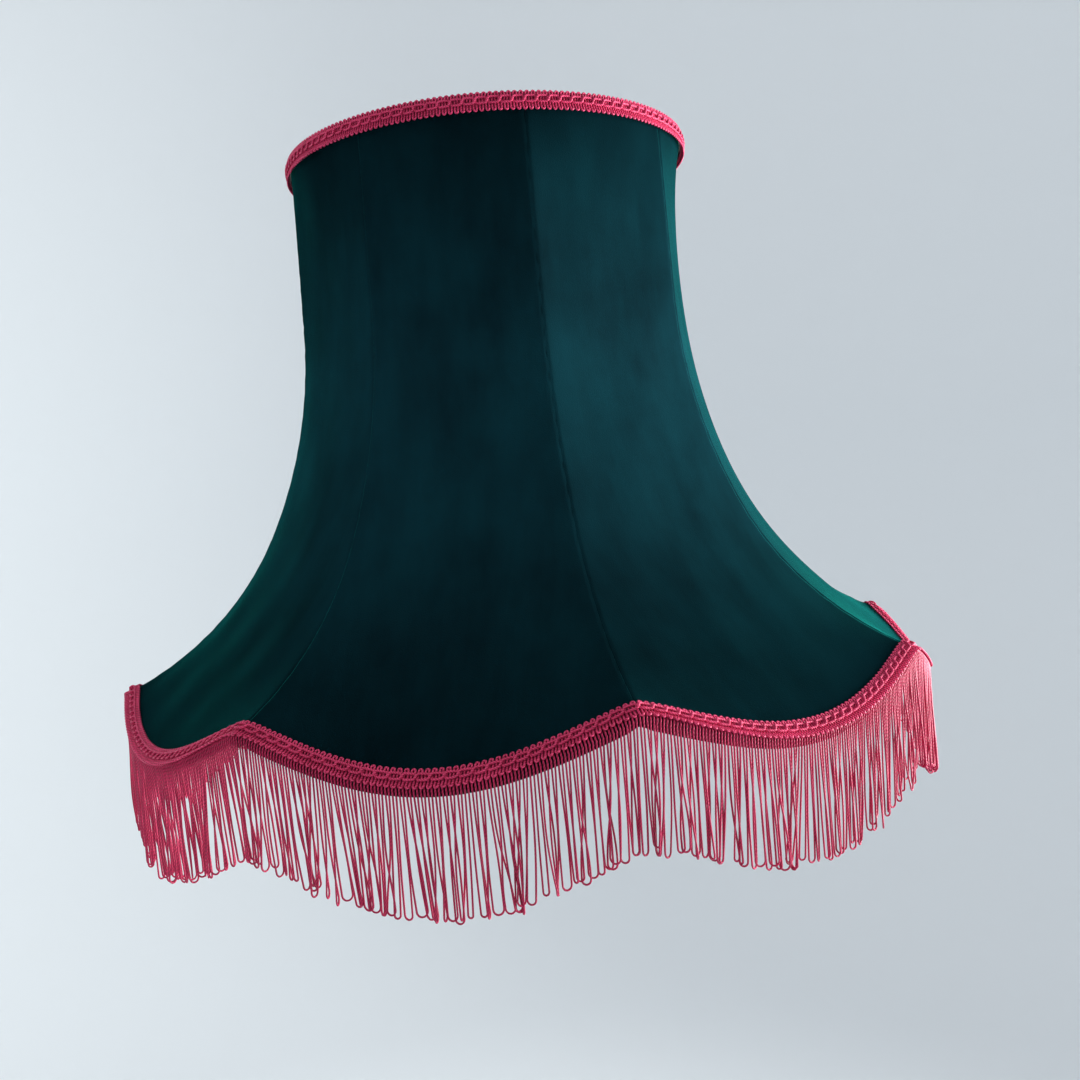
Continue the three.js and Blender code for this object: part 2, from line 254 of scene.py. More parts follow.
def hem_point(share, inset):
    """The hem, from one rib to the next as share goes from 0 to 1."""
    radius, height = rib_point(0, inset)
    straight = math.cos(PITCH / 2) / np.cos((share - 0.5) * PITCH)
    drop = SCALLOP_DROP * np.hypot(np.sin(math.pi * share), SCALLOP_ROUNDING) ** SCALLOP_SHARPNESS
    return polar(radius * (straight + (1 - straight) * HEM_BOW), share * PITCH, height - drop)


def stretch_cloth(inset, rows=96, columns=32, sweeps=5000):
    """Cloth stretched between two ribs, the top ring and the hem, in rows from the top down."""
    radius, height = rib_point((RIB_LENGTH - RING_BAND) * np.linspace(1, 0, rows + 1), inset)
    share = np.linspace(0, 1, columns + 1)
    grid = polar(radius[:, None], share * PITCH, height[:, None])
    grid[-1] = hem_point(share, inset)
    down = WARP_TENSION * (rows / columns) ** 2
    for _ in range(sweeps):
        beside = grid[1:-1, :-2] + grid[1:-1, 2:]
        above = grid[:-2, 1:-1] + grid[2:, 1:-1]
        grid[1:-1, 1:-1] = (beside + down * above) / (2 + 2 * down)
    return grid


def resample(values, places):
    """Values along the first axis read at fractional places, on a smooth curve through them."""
    low = np.clip(np.floor(places).astype(int), 0, len(values) - 2)
    t = np.asarray(places - low).reshape((-1,) + (1,) * (values.ndim - 1))
    padded = np.concatenate([2 * values[:1] - values[1:2], values, 2 * values[-1:] - values[-2:-1]])
    a, b, c, d = (padded[low + k] for k in range(4))
    return b + t / 2 * (c - a + t * (2 * a - 5 * b + 4 * c - d + t * (3 * (b - c) + d - a)))


def hem_frame(cloth, normals):
    """At the hem: where the edge is, which way is up the cloth, and which way is out of it."""
    return cloth[-1], unit(cloth[-2] - cloth[-1]), normals[-1]


SEAM_SHARES = np.array([0, 0.003, 0.006, 0.010, 0.015, 0.022, 0.032, 0.045])
SHARES = np.concatenate([SEAM_SHARES, np.linspace(0.07, 0.93, 30), 1 - SEAM_SHARES[::-1]])


def panel_cloth(inset):
    """A stretched panel with its columns close together by the ribs."""
    cloth = stretch_cloth(inset)
    return resample(cloth.swapaxes(0, 1), SHARES * (cloth.shape[1] - 1)).swapaxes(0, 1)


def seam_distance(cloth):
    """How far each point of a panel is from the nearer rib."""
    ends = [np.linalg.norm(cloth - cloth[:, column, None], axis=-1) for column in (0, -1)]
    return np.minimum(*ends)


def across_cloth(cloth):
    """How far across from the middle each point of a panel is."""
    return (SHARES - 0.5) * along_line(cloth.swapaxes(0, 1)).T[:, -1:]


def hem_turn(cloth, normals, steps=8):
    """Rows of cloth round the bottom wire and a little way up inside."""
    edge, up, out = hem_frame(cloth, normals)
    centre = edge + HEM_WIRE_RISE * up - WIRE_INSET * out
    turn = np.linspace(0, math.pi, steps + 1)[1:, None, None]
    bend = centre + WIRE_INSET * np.cos(turn) * out - HEM_WIRE_RISE * np.sin(turn) * up
    rise = np.linspace(0, TURNING, 4)[1:, None, None]
    return np.concatenate([bend, bend[-1] + rise * up])


VELVET_THICKNESS = 0.0009
TURNING = 0.004  # of velvet up inside the hem
VELVET_EDGE = 0.0016  # of the velvet's top edge below the shade's
FADE = 0.03  # within which the cloth's unevenness dies away towards an edge
SLACK_BUMPS = 0.00022
STITCH_BUMPS = 0.00010
SEAM_VALLEY = 0.00045
VELVET_CLOTH = panel_cloth(0)
VELVET_NORMALS = mitred_normals(VELVET_CLOTH, (0, PITCH))


def velvet_face(rng):
    """The velvet's outer face: a collar round the top ring, the panel and the turned hem."""
    cloth = VELVET_CLOTH.copy()
    normals = VELVET_NORMALS
    reach = seam_distance(cloth)
    down = along_line(cloth)
    across = across_cloth(cloth)
    slack = ease(reach / 0.02) * ease(down / FADE) * ease((down[-1] - down) / FADE)
    bumps = SLACK_BUMPS * slack * ripples(across, down, rng, (0.03, 0.07), 0.5)
    by_seam = np.exp(-((reach / 0.006) ** 2))
    stitches = STITCH_BUMPS * by_seam * ripples(down, across, rng, (0.009, 0.016), 0.3)
    valley = SEAM_VALLEY * np.exp(-((reach / 0.0010) ** 2))
    cloth += (bumps + stitches - valley)[..., None] * normals
    band = np.linspace(TOP - VELVET_EDGE, cloth[0, 0, 2], 4)[:-1]
    collar = polar(TOP_RADIUS, SHARES * PITCH, band[:, None])
    return np.concatenate([collar, cloth[:-1], hem_turn(cloth, normals)])


def velvet_panel(k):
    outer = velvet_face(np.random.default_rng(100 + k))
    normals = mitred_normals(outer, (0, PITCH))
    turn = (k - 1) * PITCH
    return sheet_mesh(f"velvet_{k}", turned(outer, turn), VELVET_THICKNESS, turned(normals, turn))


def shortened(cloth, cut):
    """A panel with a length cut off the end of each of its columns."""
    gone = along_line(cloth)
    kept = gone * (1 - cut / gone[-1])
    shorter = np.empty_like(cloth)
    for column in range(cloth.shape[1]):
        marks, places = gone[:, column], kept[:, column]
        for axis in range(3):
            shorter[:, column, axis] = np.interp(places, marks, cloth[:, column, axis])
    return shorter


LINING_THICKNESS = 0.0004
LINING_CUT = 0.005  # of the lining, short of the hem at a rib
LINING_CUT_BETWEEN = 0.002  # more, halfway between two ribs
LINING_CLOTH = shortened(panel_cloth(LINING_INSET),
                         LINING_CUT + LINING_CUT_BETWEEN * np.sin(math.pi * SHARES))
CREASES = 0.0004  # that pull down from the top ring
SOFT_BUMPS = 0.0003
TUCK = 0.0022  # of the lining's foot out towards the hem
PINCH = 0.0007  # at each rib
ROLL = {"inset": 0.0029, "drop": 0.0022, "across": 0.0033, "rise": 0.0024}  # over the top ring
ROLL_EDGE = 0.0042  # of the lining's outer edge below the top of the shade


def lining_roll():
    """Rows of lining up the outside of the top ring and over it."""
    angle = SHARES * PITCH
    turn = np.linspace(0, math.pi, 13)[:, None]
    radius = TOP_RADIUS - ROLL["inset"] + ROLL["across"] * np.cos(turn)
    height = TOP - ROLL["drop"] + ROLL["rise"] * np.sin(turn)
    heights = np.linspace(TOP - ROLL_EDGE, TOP - ROLL["drop"], 4)[:-1, None]
    outside = polar(TOP_RADIUS - ROLL["inset"] + ROLL["across"], angle, heights)
    return np.concatenate([outside, polar(radius, angle, height)])


def lining_panel(k):
    """From the outside of the top ring, over it and down inside to the hem's turned edge."""
    rng = np.random.default_rng(200 + k)
    cloth = LINING_CLOTH
    normals = mitred_normals(cloth, (0, PITCH))
    reach = seam_distance(cloth)
    down = along_line(cloth)
    left = down[-1] - down
    across = across_cloth(cloth)
    pull = CREASES * np.exp(-down / 0.05) * ease(down / 0.004)
    creases = pull * ripples(across, down, rng, (0.006, 0.013), 0.15, 9)
    soft = SOFT_BUMPS * ease(reach / 0.02) * ripples(across, down, rng, (0.03, 0.08), 0.5)
    tuck = TUCK * ease((0.015 - left) / 0.009)
    pinch = PINCH * np.exp(-((reach / 0.0012) ** 2))
    lift = pinch - tuck - creases - soft * ease(left / 0.02)
    cloth = cloth + lift[..., None] * normals
    outer = np.concatenate([lining_roll(), cloth])[::-1]
    normals = mitred_normals(outer, (0, PITCH))
    turn = (k - 1) * PITCH
    return sheet_mesh(f"lining_{k}", turned(outer, turn), LINING_THICKNESS, turned(normals, turn))


# A ribbon is the surface that a braid lies on: points and normals, round the shade by up the cloth

RIBBON_STEP = 0.001  # between the rows of a ribbon, up the cloth
BRAID_STANDOFF = 0.0008  # of the top braid's back, off the velvet


class Ribbon:
    """A closed band of cloth. Its places run from 0 to 1 round the shade, evenly by length."""

    def __init__(self, points, normals):
        self.points = np.concatenate([points, points[:1]])
        self.normals = np.concatenate([normals, normals[:1]])
        gone = along_line(self.points[:, 0])
        self.length = gone[-1]
        self.marks = gone / gone[-1]

    def at(self, place, rise, lift):
        """Points at a place round the ribbon, a rise up it and a lift off it, and the normals there."""
        place, rise, lift = np.broadcast_arrays(place, rise, lift)
        column = np.interp(place % 1, self.marks, np.arange(len(self.marks)))
        row = np.clip(rise / RIBBON_STEP, 0, self.points.shape[1] - 1.001)
        i, j = column.astype(int).clip(0, len(self.marks) - 2), row.astype(int)
        s, t = (column - i)[..., None], (row - j)[..., None]
        found = []
        for table in (self.points, self.normals):
            low = table[i, j] * (1 - s) + table[i + 1, j] * s
            high = table[i, j + 1] * (1 - s) + table[i + 1, j + 1] * s
            found.append(low * (1 - t) + high * t)
        normal = unit(found[1])
        over = (rise - row * RIBBON_STEP)[..., None]
        up = unit(self.points[i, -1] - self.points[i, -2])
        return found[0] + over * up * (over > 0) + lift[..., None] * normal, normal


def top_ribbon():
    """The outside of the top edge, under the braid."""
    segments, rows = 360, 16
    angle = np.arange(segments)[:, None] * 2 * math.pi / segments
    rise = np.arange(rows) * RIBBON_STEP
    points = polar(TOP_RADIUS + BRAID_STANDOFF, angle, GIMP_TOP - BRAID_WIDTH + rise)
    return Ribbon(points, polar(1.0, angle, 0 * rise))


def hem_ribbon():
    """The velvet above the hem, all the way round."""
    cloth = stretch_cloth(0, columns=48, sweeps=9000)
    normals = mitred_normals(cloth, (0, PITCH))
    up_cloth, up_normals = cloth[::-1], normals[::-1]
    gone = along_line(up_cloth)
    rises = np.arange(24) * RIBBON_STEP
    points = np.zeros((cloth.shape[1], len(rises), 3))
    facing = np.zeros_like(points)
    for column in range(cloth.shape[1]):
        marks = gone[:, column]
        for axis in range(3):
            points[column, :, axis] = np.interp(rises, marks, up_cloth[:, column, axis])
            facing[column, :, axis] = np.interp(rises, marks, up_normals[:, column, axis])
    points = np.concatenate([turned(points[:-1], k * PITCH) for k in range(PANELS)])
    facing = np.concatenate([turned(facing[:-1], k * PITCH) for k in range(PANELS)])
    return Ribbon(points, unit(facing))


# The braid: one cord goes up and down across it, and two more cross over each other along it

BRAID_CELL = 0.0030  # one loop of the cord along each edge
BRAID_WIDTH = 0.0098
WEFT_RADIUS = 0.00050
CHAIN_RADIUS = 0.00056
CHAIN_MIDDLE = 0.0055  # up the braid
CHAIN_HALF = 0.0014  # of the two cords from that middle, where they are furthest apart
CHAIN_LIFT = 0.0016
CHAIN_OVER = 0.00045  # the cord that passes over another is lifted by this, and the other lowered
CHAIN_SNAP = 3.2  # higher is a quicker crossing and a longer link
TAPE_THICKNESS = 0.0003
TAPE_LOW = 0.0022
WEFT_RISES = np.array([0, 0.9, 1.8, 2.8, 3.6, 4.4, 6.8, 7.8, 8.9, 9.8]) / 1000
# The cord's lift off the cloth at each of those rises
WEFT_LIFTS = np.array([1.30, 1.65, 1.45, 0.60, 0.60, 0.80, 0.75, 1.05, 0.95, 0.85]) / 1000


def braid_weft(name, ribbon, base, cells):
    """The cord that goes up and down across the braid, with a round loop at each edge."""
    bend = 0.25 * BRAID_CELL
    low = WEFT_RADIUS + bend
    high = BRAID_WIDTH - low
    straight = np.array([0.0, 0.13, 0.29, 0.42, 0.55, 0.70, 0.85, 1.0])
    turn = np.linspace(math.pi, 0, 5)[1:-1]
    x = np.concatenate([0.25 + 0 * straight, 0.5 + 0.25 * np.cos(turn), 0.75 + 0 * straight,
                        1.0 + 0.25 * np.cos(turn)])
    rise = np.concatenate([low + (high - low) * straight, high + bend * np.sin(turn),
                           high - (high - low) * straight, low - bend * np.sin(turn)])
    lift = np.interp(rise, WEFT_RISES, WEFT_LIFTS)
    place = (np.arange(cells)[:, None] + x).ravel() / cells
    points, normals = ribbon.at(place, base + np.tile(rise, cells), np.tile(lift, cells))
    return tubes(name, points[None], normals[None], WEFT_RADIUS, 6, looped=True)


def braid_chain(name, ribbon, base, cells):
    """Two cords that cross over each other every second loop, and leave long links between."""
    steps = cells * 8
    x = np.arange(steps) * cells / steps
    swing = np.tanh(CHAIN_SNAP * np.sin(math.pi * x / 2)) / math.tanh(CHAIN_SNAP)
    over = CHAIN_OVER * np.cos(math.pi * x / 2) ** 3
    paths, guides = [], []
    for side in (1, -1):
        rise = base + CHAIN_MIDDLE + side * CHAIN_HALF * swing
        points, normals = ribbon.at(x / cells, rise, CHAIN_LIFT + side * over)
        paths.append(points)
        guides.append(normals)
    return tubes(name, np.array(paths), np.array(guides), CHAIN_RADIUS, 6, looped=True)


def braid_tape(name, ribbon, base, high):
    """The flat woven tape that the braid's cords are held on."""
    segments = 720
    place = np.arange(segments) / segments
    outline = ((TAPE_LOW, 0.0), (TAPE_LOW, TAPE_THICKNESS), (high, TAPE_THICKNESS), (high, 0.0))
    rows = [ribbon.at(place, base + rise, lift)[0] for rise, lift in outline]
    points = np.stack(rows, axis=1)
    index = np.arange(segments * len(outline)).reshape(segments, -1)
    after = np.roll(index, -1, axis=0)
    quads = np.stack([index, after, np.roll(after, -1, axis=1), np.roll(index, -1, axis=1)], -1)
    return add_mesh(name, points, quads.reshape(-1, 4).tolist(), smooth=False)


# The fringe: loops of twisted cord that come out under the braid, bend over the hem and hang

STRAND_RADIUS = 0.00043
HEADING_CORD = 0.0036  # how far up under the braid a loop starts
CLOTH_STEPS = 4
BEND_STEPS = 5
HANG_STEPS = 14
LOOP_STEPS = 7
LEG_SPACING = 0.25 * BRAID_CELL  # of a loop's two legs from its middle, at the braid
LOOP_HALF_WIDTHS = (0.0011, 0.0023)
LENGTH_SPREAD = 0.0009
HANG_LEAN = math.radians(2.5)  # inwards
SWAY_SPREAD = 0.0012  # in and out, at the foot
DRIFT_TOGETHER = 0.0019  # along the hem, of neighbours that drift as a clump
DRIFT_SPREAD = 0.0009  # along the hem, of each loop by itself
DRIFT_POWER = 1.4  # above 1, a loop drifts less near the hem than near its foot
SPIN_SPREAD, SPIN_LIMIT = math.radians(28), 1.2
EDGE_ON_SHARE, EDGE_ON_TURNS = 0.22, (1.2, 1.7)  # loops that show their narrow side, in radians
TWISTED_SHARE, TWISTED_TURNS = 0.12, (2.4, 3.4)  # loops whose legs cross
TURN_POWER = 1.3
WIDENING = 1.3  # above 1, a loop has its full width some way above its foot
CLUMPS = np.random.default_rng(5)


class LoopManners:
    """How each loop of one panel hangs: its drift aside, its sway out, its turn, width and length."""

    def __init__(self, rng, number):
        count = len(number)
        swell = ripples(number * BRAID_CELL, 0, CLUMPS, (0.012, 0.040), 0.0, 6)
        self.drift = DRIFT_TOGETHER * swell + rng.normal(0, DRIFT_SPREAD, count)
        self.sway = rng.normal(0, SWAY_SPREAD, count)
        spin = np.clip(rng.normal(0, SPIN_SPREAD, count), -SPIN_LIMIT, SPIN_LIMIT)
        kind = rng.random(count)
        edge_on = rng.choice([-1, 1], count) * rng.uniform(*EDGE_ON_TURNS, count)
        twisted = rng.choice([-1, 1], count) * rng.uniform(*TWISTED_TURNS, count)
        spin = np.where(kind > 1 - TWISTED_SHARE, twisted, spin)
        self.spin = np.where(kind < EDGE_ON_SHARE, edge_on, spin)
        self.half_width = rng.uniform(*LOOP_HALF_WIDTHS, count)
        self.length = FRINGE_LENGTH + rng.normal(0, LENGTH_SPREAD, count)


class HemPlaces:
    """Where the loops of one panel come off the hem, and the directions there."""

    def __init__(self, middle, ribbon, cells):
        self.middle = middle
        self.edge, self.out = ribbon.at(middle, 0.0, 0.0)
        little_rise, little_way = 0.003, 0.2 / cells
        above, _ = ribbon.at(middle, little_rise, 0.0)
        self.up = unit(above - self.edge)
        ahead, _ = ribbon.at(middle + little_way, 0.0, 0.0)
        behind, _ = ribbon.at(middle - little_way, 0.0, 0.0)
        self.along = unit(ahead - behind)
        self.radial = unit(self.edge * [1, 1, 0])
        self.sideways = np.cross([0.0, 0.0, 1.0], self.radial)
        self.centre = self.edge + HEM_WIRE_RISE * self.up - WIRE_INSET * self.out
        self.slope = np.arctan2(self.out[:, 2], np.sum(self.out * self.radial, axis=-1))


def fringe_leg(side, hem, manners, ribbon, cells):
    """One leg of each loop, from under the braid, over the hem and down, as (loops, points, 3)."""
    place = hem.middle + side * 0.25 / cells
    rises = np.linspace(HEADING_RISE + HEADING_CORD, HEM_WIRE_RISE, CLOTH_STEPS)
    on_cloth, _ = ribbon.at(place[:, None], rises, STRAND_RADIUS)

    bend_angle = np.linspace(0, 1, BEND_STEPS)[None, :, None] * hem.slope[:, None, None]
    reach, drop = WIRE_INSET + STRAND_RADIUS, HEM_WIRE_RISE + STRAND_RADIUS
    start = (hem.centre + side * LEG_SPACING * hem.along)[:, None]
    bend = start + reach * np.cos(bend_angle) * hem.out[:, None]
    bend = bend - drop * np.sin(bend_angle) * hem.up[:, None]

    q = (np.arange(HANG_STEPS) + 1) / HANG_STEPS
    turn_height = 0.0009  # of the round turn at the loop's foot
    hang_length = (manners.length - turn_height + bend[:, -1, 2] - hem.edge[:, 2])[:, None]
    half = LEG_SPACING + (manners.half_width[:, None] - LEG_SPACING) * ease(q * WIDENING)
    facing = manners.spin[:, None] * q ** TURN_POWER
    flat = side * half * np.cos(facing) - side * LEG_SPACING
    deep = side * half * np.sin(facing)
    aside = flat + manners.drift[:, None] * q ** DRIFT_POWER
    outwards = deep + manners.sway[:, None] * q - math.tan(HANG_LEAN) * hang_length * q
    hang = bend[:, -1, None] + aside[..., None] * hem.sideways[:, None]
    hang = hang + outwards[..., None] * hem.radial[:, None]
    hang[..., 2] -= hang_length * q
    return np.concatenate([on_cloth, bend, hang], axis=1)


def loop_feet(start, end):
    """The round turn from the end of one leg to the end of the other."""
    deeper = 1.1  # than a half circle
    turn = np.linspace(math.pi, 0, LOOP_STEPS + 2)[1:-1]
    half_width = (end - start) / 2
    radius = np.linalg.norm(half_width, axis=-1)[:, None]
    loop = ((start + end) / 2)[:, None] + half_width[:, None] * np.cos(turn)[None, :, None]
    loop[..., 2] -= radius * deeper * np.sin(turn)
    return loop


def fringe(k, ribbon, cells):
    """The loops of one panel."""
    count = cells // PANELS
    number = (k - 1) * count + np.arange(count)
    hem = HemPlaces((number + 0.5) / cells, ribbon, cells)
    manners = LoopManners(np.random.default_rng(300 + k), number)
    first, second = (fringe_leg(side, hem, manners, ribbon, cells) for side in (-1, 1))
    feet = loop_feet(first[:, -1], second[:, -1])
    paths = np.concatenate([first, feet, second[:, ::-1]], axis=1)
    return tubes(f"fringe_loops_{k}", paths, carried_guides(paths), STRAND_RADIUS, 6)


# The fitter


def rounded_profile(inner, outer, low, high, corner, steps=4):
    """A rectangle with round corners, as (radius, height) points."""
    points = []
    left, right = inner + corner, outer - corner
    bottom, top = low + corner, high - corner
    for x, z, start in ((right, bottom, -90), (right, top, 0), (left, top, 90), (left, bottom, 180)):
        for step in range(steps + 1):
            turn = math.radians(start + 90 * step / steps)
            points.append((x + corner * math.cos(turn), z + corner * math.sin(turn)))
    return points


GIMBAL = {"inner": 0.035, "outer": 0.037, "height": 0.010}
FITTER = {"hole": 0.021, "radius": 0.030, "thickness": 0.0015}
LUG = {"inside": 0.0318, "width": 0.010, "bend": 0.0022, "start": 0.0285}
PIVOT_HEIGHT = 0.005
ARM_DEGREES = (45, 135, 225, 315)
ARM_BEND = 0.35  # of the way in, before and after the slope
WIRE_RADIUS = 0.0015


def gimbal_ring():
    profile = rounded_profile(GIMBAL["inner"], GIMBAL["outer"], 0, GIMBAL["height"], 0.0004)
    return lathe("gimbal_band", profile, 144)


def fitter_washer():
    profile = rounded_profile(FITTER["hole"], FITTER["radius"], 0, FITTER["thickness"], 0.0003)
    return lathe("fitter_washer", profile, 144)


# The lug's cross-section with its corners cut: shares of half its width and of half its thickness
LUG_SECTION = ((-1, -0.7), (-0.96, -1), (0.96, -1), (1, -0.7),
               (1, 0.7), (0.96, 1), (-0.96, 1), (-1, 0.7))


def fitter_lug(name, side):
    """A tab that runs out from the washer, bends up and ends in a half circle."""
    half = FITTER["thickness"] / 2
    skin = 0.98 * half  # a little thinner than the washer, which hides the tab's end
    half_width = LUG["width"] / 2
    upright = LUG["inside"] + half
    bend, start = LUG["bend"], LUG["start"]
    turn = np.linspace(0, math.pi / 2, 7)
    out = np.concatenate([[start, start + 0.001], upright - bend + bend * np.sin(turn)])
    up = np.concatenate([[half, half], half + bend * (1 - np.cos(turn))])
    crown = np.sin(np.linspace(0, math.pi / 2, 9))
    rise = PIVOT_HEIGHT + half_width * crown
    out = np.concatenate([out, upright + 0 * rise])
    up = np.concatenate([up, rise])
    line = np.stack([out, up], axis=-1)
    normal = np.gradient(line, axis=0)
    normal = unit(np.stack([normal[:, 1], -normal[:, 0]], axis=-1))
    wide = np.full(len(line), half_width)
    wide[-len(crown):] = half_width * np.sqrt(np.maximum(1 - crown ** 2, 0.0004))
    points = []
    for point, facing, reach in zip(line, normal, wide):
        for across, depth in LUG_SECTION:
            y, z = point + facing * skin * depth
            points.append((across * reach, side * y, z))
    index = np.arange(len(points)).reshape(len(line), len(LUG_SECTION))
    after = np.roll(index, -1, axis=1)
    quads = np.stack([index[:-1], index[1:], after[1:], after[:-1]], -1).reshape(-1, 4)
    faces = quads.tolist() + [index[0].tolist(), index[-1, ::-1].tolist()]
    if side < 0:
        faces = [face[::-1] for face in faces]
    return add_mesh(name, np.array(points), faces)


def arm_wire(k, angle):
    """A bent wire from the inside of the top ring to the gimbal."""
    start = TOP_RADIUS - WIRE_INSET
    end = GIMBAL["outer"] + 0.0004
    bend = (start - end) * ARM_BEND
    high, low = TOP - 0.002, GIMBAL["height"] / 2
    t = np.linspace(0, 1, 40)[:, None]
    knots = ((start, high), (start - bend, high), (end + bend, low), (end, low))
    a, b, c, d = (polar(radius, angle, height) for radius, height in knots)
    line = (1 - t) ** 3 * a + 3 * (1 - t) ** 2 * t * b + 3 * (1 - t) * t ** 2 * c + t ** 3 * d
    paths = line[None]  # the one wire
    return tubes(f"arm_wire_{k}", paths, carried_guides(paths), WIRE_RADIUS, 14)


# Materials


def new_material(name):
    material = bpy.data.materials.new(name)
    material.use_nodes = True
    return material, material.node_tree, material.node_tree.nodes["Principled BSDF"]


def add_node(tree, kind, inputs=(), **settings):
    """A shader node. Each input is a value, or the output socket that feeds it."""
    made = tree.nodes.new(kind)
    for key, value in settings.items():
        setattr(made, key, value)
    for key, value in dict(inputs).items():
        if isinstance(value, bpy.types.NodeSocket):
            tree.links.new(value, made.inputs[key])
        else:
            made.inputs[key].default_value = value
    return made


def noise(tree, where, scale, detail=3.0, roughness=0.5):
    inputs = {"Vector": where, "Scale": scale, "Detail": detail, "Roughness": roughness}
    return add_node(tree, "ShaderNodeTexNoise", inputs).outputs["Fac"]


def ramp(tree, value, *stops):
    """A colour ramp through (position, colour) stops."""
    made = add_node(tree, "ShaderNodeValToRGB", {"Fac": value})
    points = made.color_ramp.elements
    points[0].position, points[0].color = stops[0][0], (*stops[0][1], 1)
    points[1].position, points[1].color = stops[-1][0], (*stops[-1][1], 1)
    for position, colour in stops[1:-1]:
        points.new(position).color = (*colour, 1)
    return made.outputs["Color"]


def scaled(tree, where, scale):
    return add_node(tree, "ShaderNodeMapping", {"Vector": where, "Scale": scale}).outputs["Vector"]


def bump(tree, height, strength, distance):
    inputs = {"Height": height, "Strength": strength, "Distance": distance}
    return add_node(tree, "ShaderNodeBump", inputs).outputs["Normal"]


def maths(tree, operation, a, b=0.0):
    made = add_node(tree, "ShaderNodeMath", {0: a, 1: b}, operation=operation)
    return made.outputs[0]


def blend(tree, a, b, share):
    """Two values added, of which the second has this share."""
    part = maths(tree, "MULTIPLY", a, 1 - share)
    return maths(tree, "ADD", part, maths(tree, "MULTIPLY", b, share))


def object_space(tree):
    return add_node(tree, "ShaderNodeTexCoord").outputs["Object"]


def length_space(tree):
    """On a cord, metres along it and turns round it. On a cloth, metres across it and down it."""
    return add_node(tree, "ShaderNodeUVMap", uv_map="Length").outputs["UV"]


VELVET_DARK, VELVET_LIGHT = (0.0030, 0.0130, 0.0180), (0.0046, 0.0350, 0.0465)
# Painted shade: the share of the velvet's colour kept, from the lowest point of the hem up to the top
# edge
VELVET_PAINTED_SHADE = ((0.0, 0.34), (0.12, 0.48), (0.32, 0.86), (0.60, 1.0), (0.82, 0.70), (1.0, 0.32))


def velvet_material():
    material, tree, shader = new_material("velvet")
    where = object_space(tree)
    blotches = noise(tree, where, 14.0, 3.0, 0.55)
    strokes = noise(tree, scaled(tree, length_space(tree), (60.0, 14.0, 1.0)), 1.0, 4.0, 0.6)
    mixed = blend(tree, blotches, strokes, 0.4)
    colour = ramp(tree, mixed, (0.3, VELVET_DARK), (0.7, VELVET_LIGHT))
    # Painted shade: the velvet's colour is darker towards the hem and the top edge, where less light
    # falls on it
    height = add_node(tree, "ShaderNodeSeparateXYZ", {"Vector": where}).outputs["Z"]
    span = {"Value": height, "From Min": FOOT - SCALLOP_DROP, "From Max": TOP}
    up = add_node(tree, "ShaderNodeMapRange", span).outputs["Result"]
    left = ramp(tree, up, *((place, (share,) * 3) for place, share in VELVET_PAINTED_SHADE))
    shaded_colour = add_node(tree, "ShaderNodeVectorMath", {0: colour, 1: left}, operation="MULTIPLY")
    tree.links.new(shaded_colour.outputs["Vector"], shader.inputs["Base Color"])
    shader.inputs["Roughness"].default_value = 0.9
    shader.inputs["Specular IOR Level"].default_value = 0.0
    shader.inputs["Sheen Weight"].default_value = 1.0
    shader.inputs["Sheen Roughness"].default_value = 0.24
    shader.inputs["Sheen Tint"].default_value = (0.01, 0.28, 0.235, 1)
    pile = noise(tree, where, 1800.0, 2.0)
    tree.links.new(bump(tree, pile, 0.35, 0.0004), shader.inputs["Normal"])
    return material


def cord_material(name, dark, light, plies, lay):
    """A shiny twisted cord, its colour painted shade in the grooves between plies and painted highlight
    on their crests. lay is the length in which a ply goes once round.
    """
    material, tree, shader = new_material(name)
    parts = add_node(tree, "ShaderNodeSeparateXYZ", {"Vector": length_space(tree)})
    turn = maths(tree, "ADD", maths(tree, "DIVIDE", parts.outputs["X"], lay), parts.outputs["Y"])
    wave = maths(tree, "SINE", maths(tree, "MULTIPLY", turn, 2 * math.pi * plies))
    height = maths(tree, "MULTIPLY", maths(tree, "ADD", wave, 1.0), 0.5)
    patches = noise(tree, object_space(tree), 90.0, 3.0)
    # Painted shade in the grooves and painted highlight on the crests, mixed with patches of random
    # tone
    colour = ramp(tree, blend(tree, height, patches, 0.45), (0.15, dark), (0.85, light))
    tree.links.new(colour, shader.inputs["Base Color"])
    shader.inputs["Roughness"].default_value = 0.5
    shader.inputs["Specular IOR Level"].default_value = 0.2
    shader.inputs["Sheen Weight"].default_value = 0.08
    shader.inputs["Sheen Roughness"].default_value = 0.4
    shader.inputs["Sheen Tint"].default_value = (1.0, 0.2, 0.4, 1)
    tree.links.new(bump(tree, height, 0.6, 0.00015), shader.inputs["Normal"])
    return material


def lining_material():
    material, tree, shader = new_material("lining")
    shade = noise(tree, object_space(tree), 20.0, 3.0)
    colour = ramp(tree, shade, (0.3, (0.76, 0.66, 0.49)), (0.7, (0.85, 0.76, 0.60)))
    tree.links.new(colour, shader.inputs["Base Color"])
    shader.inputs["Roughness"].default_value = 0.38
    shader.inputs["Sheen Weight"].default_value = 0.3
    threads = noise(tree, scaled(tree, length_space(tree), (2600.0, 300.0, 1.0)), 1.0, 2.0)
    tree.links.new(bump(tree, threads, 0.3, 0.0002), shader.inputs["Normal"])
    return material


def wire_material():
    material, tree, shader = new_material("painted_wire")
    where = object_space(tree)
    chips = noise(tree, where, 260.0, 4.0)
    colour = ramp(tree, chips, (0.35, (0.62, 0.60, 0.54)), (0.5, (0.78, 0.77, 0.72)))
    tree.links.new(colour, shader.inputs["Base Color"])
    shader.inputs["Roughness"].default_value = 0.38
    tree.links.new(bump(tree, noise(tree, where, 900.0), 0.15, 0.0003), shader.inputs["Normal"])
    return material


